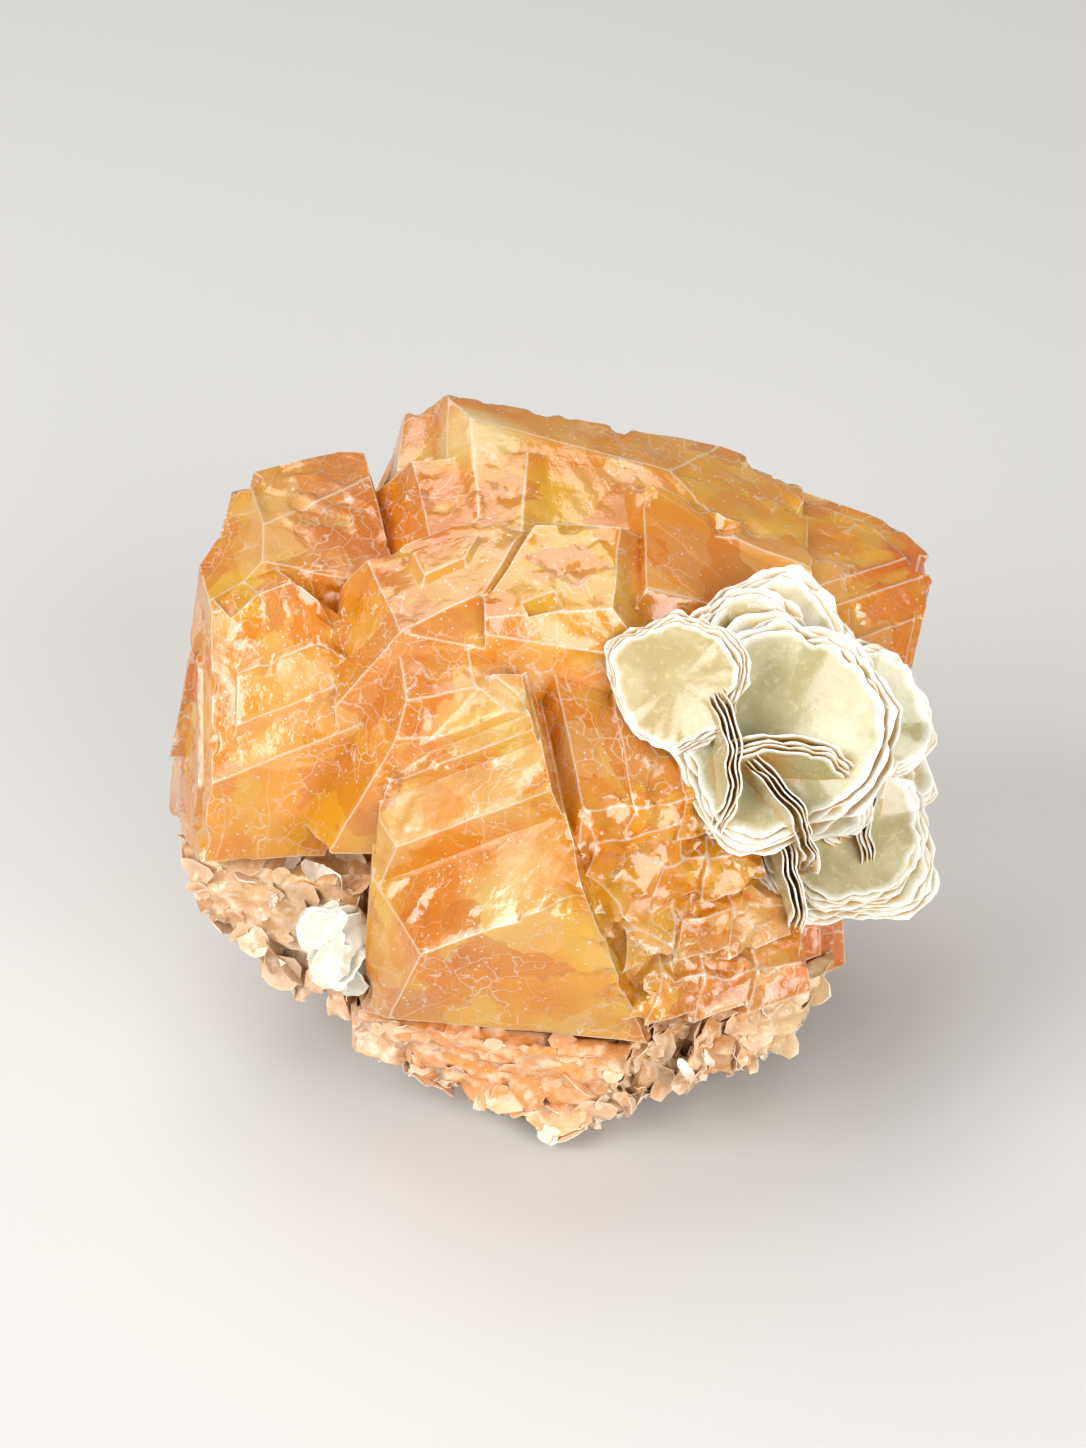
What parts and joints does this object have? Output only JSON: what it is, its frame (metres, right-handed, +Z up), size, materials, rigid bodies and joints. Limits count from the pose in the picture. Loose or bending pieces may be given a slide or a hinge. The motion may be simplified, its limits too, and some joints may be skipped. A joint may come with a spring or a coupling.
{
  "type": "scheelite with muscovite specimen",
  "caption": "Hand specimen of orange scheelite crystals grown into each other on a tan mica crust, with a rosette and a bud of pale muscovite leaves.",
  "frame": {"origin": "bottom centre of the bounding box, on the flat broken base that the specimen rests on", "axes": "+X to the right as pictured, towards the muscovite rosette; -Y towards the viewer; +Z up"},
  "size_m": [0.0704, 0.0558, 0.0536],
  "materials": {
    "scheelite": "translucent orange crystal, greasy to glassy, with cracks and pale veils",
    "muscovite": "pearly pale mica with bright white rims",
    "tan_mica": "tan flaky mica with glints"
  },
  "bodies": {
    "root": {"scheelite_crystals": "scheelite", "mica_matrix": "tan_mica", "muscovite_rosette": "muscovite", "muscovite_bud": "muscovite"}
  },
  "joints": []
}
